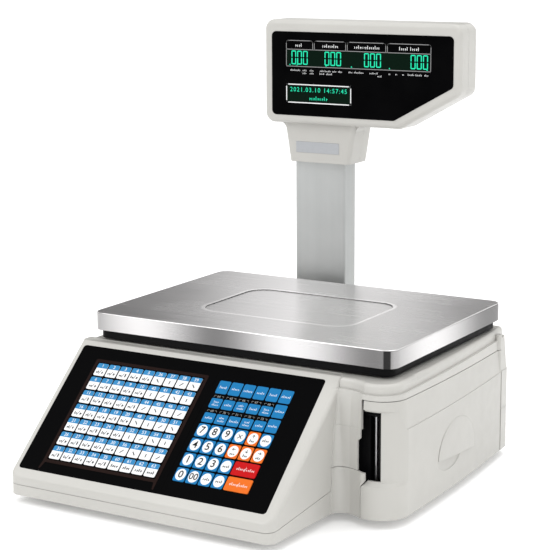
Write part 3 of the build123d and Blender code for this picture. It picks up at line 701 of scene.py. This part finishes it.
def round_legends():
    """White discs on the square keys of the lower rows, with their figures and symbols."""
    arrow_keys = {(4, 3): (0, 1), (3, 4): (-1, 0), (4, 4): (0, -1), (5, 4): (1, 0)}
    word_keys = ((5, 3), (3, 5), (2, 6), (3, 6))
    cross_key = (3, 3)
    nought_key = (1, 6)
    discs = []
    symbols = []
    covers = []
    for column, row in (cross_key, nought_key, *word_keys, *arrow_keys):
        discs.append(disc(*function_centre(column, row)))
    for (column, row), direction in arrow_keys.items():
        x, s = function_centre(column, row)
        covers.append(rectangle(x, s, KEY_WIDTH + 0.1, KEY_LENGTH + 0.1, KEY_CORNER))
        symbols += arrow(x, s + 2.6, direction)
        symbols += scribble(x, s - 2.8, 5, 3.2, column, 0.5)
    x, s = function_centre(*cross_key)
    for side in (-1, 1):
        symbols += strokes([(x - 2.2, s - 2.2 * side), (x + 2.2, s + 2.2 * side)], 0.9)
    for column, row in word_keys:
        x, s = function_centre(column, row)
        symbols += scribble(x, s, 8.5, 3.4, column, 0.45)
    raised("orange_faces", covers, 0, COVER_FACE, slope, materials["orange_key"])
    raised("key_discs", discs, COVER_FACE, COVER_FACE + INK, slope, ink_white)
    raised("key_symbols", symbols, COVER_FACE + INK, COVER_FACE + 2 * INK, slope, ink_black)
    noughts = [("00", *function_centre(*nought_key), NOUGHTS_HEIGHT)]
    figures("double_nought", noughts, COVER_FACE + INK, slope, ink_black, weight=0.14)


def moving_key_legends():
    """Digit keys and the two wide keys: the print rides on each key."""
    face = MOVING_FACE
    for index, digits in enumerate(("789", "456", "123", "0")):
        for column, digit in enumerate(digits):
            x, s = function_centre(column, index + 3)
            body = f"key_{digit}"
            raised(f"disc_{digit}", [disc(x, s)], face, face + INK, slope, ink_white, body)
            entry = [(digit, x, s, KEY_DIGIT_HEIGHT)]
            figures(f"digit_{digit}", entry, face + INK, slope, ink_black, body, weight=0.16)
    for name, row in (("red", 5), ("orange", 6)):
        x, s = function_centre(4, row, 2)
        words = scribble(x - 5.5, s, 9.5, 3.4, 1)
        words += strokes([(x - 0.6, s - 2.4), (x + 0.8, s + 2.4)], 0.5)
        words += scribble(x + 6.2, s, 10, 3.4, 2)
        raised(f"{name}_words", words, face, face + INK, slope, ink_white, f"key_{name}_wide")


preset_keys()
panel_lines()
small_key_legends()
round_legends()
moving_key_legends()

# ---------------------------------------------------------------- display print and figures
# Millimetres: X and Z on the head's front window
WINDOW_Y = 178.6
ROW_LEFT = -101.0
ROW_RIGHT = 92.6
ROW_LOW = 447.0
ROW_TOP = 467.4
TAB_TOP = 478.0
TAB_CORNER = 2.6
TAB_ENDS = (-64.4, -19.4, 34.0, ROW_RIGHT)
TAB_GAP = 2.2
OUTLINE = 0.75
FIRST_DIGITS = (-90.6, -44.8, 8.6, 69.8)
DIGITS_IN_FIELD = 3
DIGIT_PITCH = 8.0
DIGIT_WIDTH = 6.5
DIGIT_HEIGHT = 16.6
DIGIT_Z = 457.6
SEGMENT = 1.25
DATE_X = -56.6
DATE_Z = 414.3
DATE_WIDTH = 87.6
DATE_HEIGHT = 21.0
DATE_FIGURES_Z = 418.9
DATE_FIGURES_HEIGHT = 5.3
MARKERS = (-96, -86, -46, -11.5, 39, 88)
MARKER_Z = 448.2
GLASS_FACE = 0.02
LINE_FACE = 0.05
LIT_FACE = 0.06

# Printed words, as the middle and the width of each one
HEADER_Z = 472.6
HEADER_HEIGHT = 4.0
UPPER_WORDS_Z = 442.6
LOWER_WORDS_Z = 439.2
WORD_HEIGHT = 2.3
HEADER_WORDS = ((-84, 11), (-40.5, 22), (-1, 14), (15, 22), (57, 12), (71.5, 12))
UPPER_WORDS = ((-93, 5), (-86, 8), (-76, 6), (-66, 5), (-52, 6), (-44, 8), (-35, 6), (-27, 5), (-13, 5),
               (-2, 13), (18, 11), (39, 3), (48, 3), (57, 3), (67, 8), (77, 8), (87, 5))
LOWER_WORDS = ((-76, 5), (-66, 5), (-52, 7), (-42, 8), (26, 6))

front_face = Matrix.Translation((0, WINDOW_Y * MM, 0)) @ Matrix.Rotation(math.radians(90), 4, "X")


def tab_line(left, right):
    """Up, round and down again: the outline of one header tab."""
    z = TAB_TOP - TAB_CORNER
    points = [(left, ROW_TOP)] + arc(left + TAB_CORNER, z, TAB_CORNER, 180, 90)
    return points + arc(right - TAB_CORNER, z, TAB_CORNER, 90, 0) + [(right, ROW_TOP)]


def segment_digit(x, z):
    """Six lit bars of a nought with gaps between them, and its unlit middle bar."""
    half_w = (DIGIT_WIDTH - SEGMENT) / 2
    half_h = (DIGIT_HEIGHT - SEGMENT) / 2
    gap = 0.55 * SEGMENT
    lit = []
    for end in (1, -1):
        level = z + end * half_h
        lit += strokes([(x - half_w + gap, level), (x + half_w - gap, level)], SEGMENT)
    for side in (-1, 1):
        bar_x = x + side * half_w
        for end in (1, -1):
            lit += strokes([(bar_x, z + end * (half_h - gap)), (bar_x, z + end * 1.1 * SEGMENT)], SEGMENT)
    dark = strokes([(x - half_w + SEGMENT, z), (x + half_w - SEGMENT, z)], 0.8 * SEGMENT)
    return lit, dark


def display_frame():
    """Dark glass of the value row and the date field, and the fine lines round them."""
    row_width = ROW_RIGHT - ROW_LEFT
    row_middle = (ROW_LEFT + ROW_RIGHT) / 2
    glass = [rectangle(row_middle, (ROW_LOW + ROW_TOP) / 2, row_width, ROW_TOP - ROW_LOW)]
    glass.append(rectangle(DATE_X, DATE_Z, DATE_WIDTH, DATE_HEIGHT, 1.2))
    raised("display_glass", glass, 0, GLASS_FACE, front_face, tube_dark)
    row = [(ROW_LEFT, ROW_TOP), (ROW_LEFT, ROW_LOW), (ROW_RIGHT, ROW_LOW), (ROW_RIGHT, ROW_TOP)]
    lines = strokes(row, OUTLINE) + strokes([row[0], row[-1]], OUTLINE)
    left = ROW_LEFT
    for right in TAB_ENDS:
        lines += strokes(tab_line(left, right), OUTLINE)
        left = right + TAB_GAP
    raised("display_lines", lines, GLASS_FACE, LINE_FACE, front_face, ink_line)
    border = rectangle(DATE_X, DATE_Z, DATE_WIDTH + 0.8, DATE_HEIGHT + 0.8, 1.6)
    border.append(border[0])
    raised("date_border", strokes(border, 1.2), GLASS_FACE, LINE_FACE, front_face, ink_white)


def display_words():
    """The printed words over and under the value row."""
    words = []
    for x, width in HEADER_WORDS:
        words += scribble(x, HEADER_Z, width, HEADER_HEIGHT, round(width))
    for x, width in UPPER_WORDS:
        words += scribble(x, UPPER_WORDS_Z, width, WORD_HEIGHT, round(width))
    for x, width in LOWER_WORDS:
        words += scribble(x, LOWER_WORDS_Z, width, WORD_HEIGHT, round(width) + 1)
    raised("display_words", words, 0, INK, front_face, ink_white)


def display_figures():
    """Noughts in the four value fields, the small markers, and the date with a line under it."""
    lit = []
    unlit = []
    for first in FIRST_DIGITS:
        for place in range(DIGITS_IN_FIELD):
            bars, middle = segment_digit(first + DIGIT_PITCH * place, DIGIT_Z)
            lit += bars
            unlit += middle
    for x in MARKERS:
        lit.append([(x - 1.0, MARKER_Z), (x + 1.0, MARKER_Z), (x, MARKER_Z + 1.8)])
    lit += scribble(-57.0, 409.2, 27, 4.6, 3)
    raised("display_lit", lit, INK, LIT_FACE, front_face, tube_green)
    raised("display_unlit", unlit, INK, LINE_FACE, front_face, tube_dim)
    date = [("2021.03.10 14:57:45", DATE_X, DATE_FIGURES_Z, DATE_FIGURES_HEIGHT)]
    figures("display_date", date, INK, front_face, tube_green, spread=1.25)


display_frame()
display_words()
display_figures()

# ---------------------------------------------------------------- light and floor
# Places and spans in the parts of a ray's direction
BRIGHT_STRIP = -0.473
CLOTH_START = (0.01, 0.09)
CLOTH_END = (0.24, 0.36)
CLOTH_TOP = (0.65, 0.90)
BACK_SIDE = (-0.1, 0.1)
ROOF_SPAN = (0.0, 0.9)

# Strengths of the light, and half the floor's side in metres
CLOTH_SHADE = 0.93
ROOF_LIGHT = (0.80, 1.50)
FLOOR_HALF = 60
FLOOR_GLOW = 0.18


def set_world():
    """A light tent: brighter overhead, with dark cloths behind on both sides of a bright strip."""
    world = bpy.data.worlds.new("world")
    bpy.context.scene.world = world
    world.use_nodes = True
    tree = world.node_tree
    direction = tree.nodes.new("ShaderNodeTexCoord").outputs["Generated"]
    parts = add(tree, "SeparateXYZ", {"Vector": direction}).outputs
    away = calculate(tree, "ABSOLUTE", calculate(tree, "SUBTRACT", parts["X"], BRIGHT_STRIP))
    cloth = smooth(tree, away, *CLOTH_START)
    cloth = calculate(tree, "MULTIPLY", cloth, smooth(tree, away, *CLOTH_END, 1.0, 0.0))
    cloth = calculate(tree, "MULTIPLY", cloth, smooth(tree, parts["Y"], *BACK_SIDE))
    cloth = calculate(tree, "MULTIPLY", cloth, smooth(tree, parts["Z"], *CLOTH_TOP, 1.0, 0.0))
    kept = calculate(tree, "SUBTRACT", 1.0, calculate(tree, "MULTIPLY", cloth, CLOTH_SHADE))
    roof = smooth(tree, parts["Z"], *ROOF_SPAN, *ROOF_LIGHT)
    background = tree.nodes["Background"]
    background.inputs["Color"].default_value = (1, 1, 1, 1)
    tree.links.new(calculate(tree, "MULTIPLY", roof, kept), background.inputs["Strength"])


def area_light(name, place, target, size, power, mirrored=True):
    """A soft panel aimed at a point. One that isn't mirrored shows in no reflection."""
    data = bpy.data.lights.new(name, "AREA")
    data.shape = "RECTANGLE"
    data.size, data.size_y = size
    data.energy = power
    light = bpy.data.objects.new(name, data)
    aim = Vector(target) - Vector(place)
    light.matrix_world = Matrix.Translation(place) @ aim.to_track_quat("-Z", "Y").to_matrix().to_4x4()
    light.visible_glossy = mirrored
    bpy.context.collection.objects.link(light)


def set_floor():
    """A wide, pale floor that glows faintly, so that shadows on it stay light."""
    mesh = bpy.data.meshes.new("floor")
    shape = bmesh.new()
    bmesh.ops.create_grid(shape, x_segments=1, y_segments=1, size=FLOOR_HALF)
    shape.to_mesh(mesh)
    shape.free()
    floor = bpy.data.objects.new("floor", mesh)
    bpy.context.collection.objects.link(floor)
    material, tree, shader, place = new_material("floor_paint")
    mottle = noise(tree, place, 3, 3)
    paint(tree, shader, remap(tree, mottle, 0, 1), (0.90, 0.90, 0.90), (0.92, 0.92, 0.92))
    shader.inputs["Roughness"].default_value = 0.8
    shader.inputs["Specular IOR Level"].default_value = 0.1
    shader.inputs["Emission Color"].default_value = (1, 1, 1, 1)
    shader.inputs["Emission Strength"].default_value = FLOOR_GLOW
    mesh.materials.append(material)


set_camera()
set_world()
area_light("key_light", (-1.6, -2.2, 2.6), (0, 0, 0.2), (1.4, 1.4), 20)
area_light("fill_light", (2.4, -1.8, 1.1), (0.1, -0.1, 0.1), (1.6, 1.2), 9, mirrored=False)
area_light("top_light", (0.4, 0.8, 2.8), (0, 0, 0.2), (1.6, 1.0), 15)
set_floor()
bpy.context.scene.view_settings.view_transform = "Standard"
